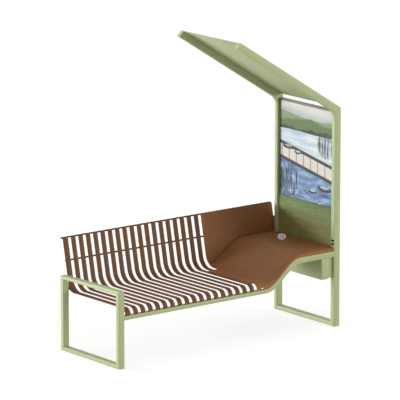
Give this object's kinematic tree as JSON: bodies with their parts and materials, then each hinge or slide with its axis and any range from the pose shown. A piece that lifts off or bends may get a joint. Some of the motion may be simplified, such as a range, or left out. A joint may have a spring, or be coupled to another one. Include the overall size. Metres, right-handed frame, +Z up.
{
  "type": "solar charging bench",
  "caption": "Park bench with a slatted seat and back, a side table with phone charging, and a tube portal that bends over into a solar canopy and frames a lit poster.",
  "frame": {"origin": "on the ground, in the middle of the bench's bounding box", "axes": "+X along the bench from the low hoop to the portal, +Y from the sitter's knees to the back, +Z up"},
  "size_m": [2.1, 0.785, 2.292],
  "materials": {
    "green_paint": "fine matt powder coat, pale sage green",
    "brown_paint": "matt powder coat, warm brown",
    "dark_steel": "dark brown paint",
    "grey_profile": "dark grey powder-coated profile",
    "clear_glass": "clear, smooth",
    "solar_cells": "dark blue cells in a laminate",
    "poster_paper": "printed backlit sheet",
    "white_diffuser": "white diffuser",
    "black_plastic": "moulded, fine texture",
    "pale_plastic": "smooth, warm white",
    "grey_plastic": "soft grey pad",
    "zinc_steel": "zinc plated"
  },
  "bodies": {
    "bench": {"left_sill": "green_paint", "left_rear_post": "green_paint", "left_arm_rail": "green_paint", "left_front_post": "green_paint", "portal_front_post": "green_paint", "portal_rear_post": "green_paint", "front_rail_cap": "green_paint", "rear_rail_cap": "green_paint", "portal_sill": "green_paint", "solar_glass": "clear_glass", "solar_laminate": "solar_cells", "canopy_soffit": "green_paint", "front_rail": "green_paint", "ramp_band": "green_paint", "table_apron": "green_paint", "slat_01": "brown_paint", "slat_02": "brown_paint", "slat_03": "brown_paint", "slat_04": "brown_paint", "slat_05": "brown_paint", "slat_06": "brown_paint", "slat_07": "brown_paint", "slat_08": "brown_paint", "slat_09": "brown_paint", "slat_10": "brown_paint", "slat_11": "brown_paint", "slat_12": "brown_paint", "slat_13": "brown_paint", "slat_14": "brown_paint", "slat_15": "brown_paint", "slat_16": "brown_paint", "slat_17": "brown_paint", "slat_18": "brown_paint", "slat_19": "brown_paint", "seat_shell": "brown_paint", "back_top_bar": "dark_steel", "back_mid_bar": "dark_steel", "left_back_bracket": "brown_paint", "right_back_bracket": "brown_paint", "portal_panel": "green_paint", "light_box_front_side": "grey_profile", "light_box_rear_side": "grey_profile", "light_box_top": "grey_profile", "light_box_bottom": "grey_profile", "poster_glazing": "clear_glass", "poster_print": "poster_paper", "light_panel": "white_diffuser", "battery_box": "green_paint", "battery_pack": "black_plastic", "controller_housing": "green_paint", "charge_controller": "black_plastic", "usb_socket_upper": "black_plastic", "usb_socket_lower": "black_plastic", "charger_base": "pale_plastic", "charger_pad": "grey_plastic"},
    "poster_door_body": {"poster_door": "green_paint"},
    "poster_lock_body": {"poster_door_lock": "zinc_steel"},
    "battery_door_body": {"battery_door": "green_paint"},
    "battery_lock_body": {"battery_door_lock": "zinc_steel"}
  },
  "joints": [
    {"name": "poster_door_hinge", "type": "hinge", "parent": "bench", "child": "poster_door_body", "pos_m": [1.049, 0.28719, 1.29365], "axis": [0, 0, 1], "range_deg": [0, 100]},
    {"name": "poster_lock_turn", "type": "hinge", "parent": "poster_door_body", "child": "poster_lock_body", "pos_m": [1.043, -0.33121, 1.29], "axis": [1, 0, 0], "range_deg": [0, 90]},
    {"name": "battery_door_hinge", "type": "hinge", "parent": "bench", "child": "battery_door_body", "pos_m": [0.9335, -0.09251, 0.384], "axis": [0, -1, 0], "range_deg": [0, 90]},
    {"name": "battery_lock_turn", "type": "hinge", "parent": "battery_door_body", "child": "battery_lock_body", "pos_m": [0.887, -0.09251, 0.39], "axis": [0, 0, 1], "range_deg": [0, 90]}
  ]
}
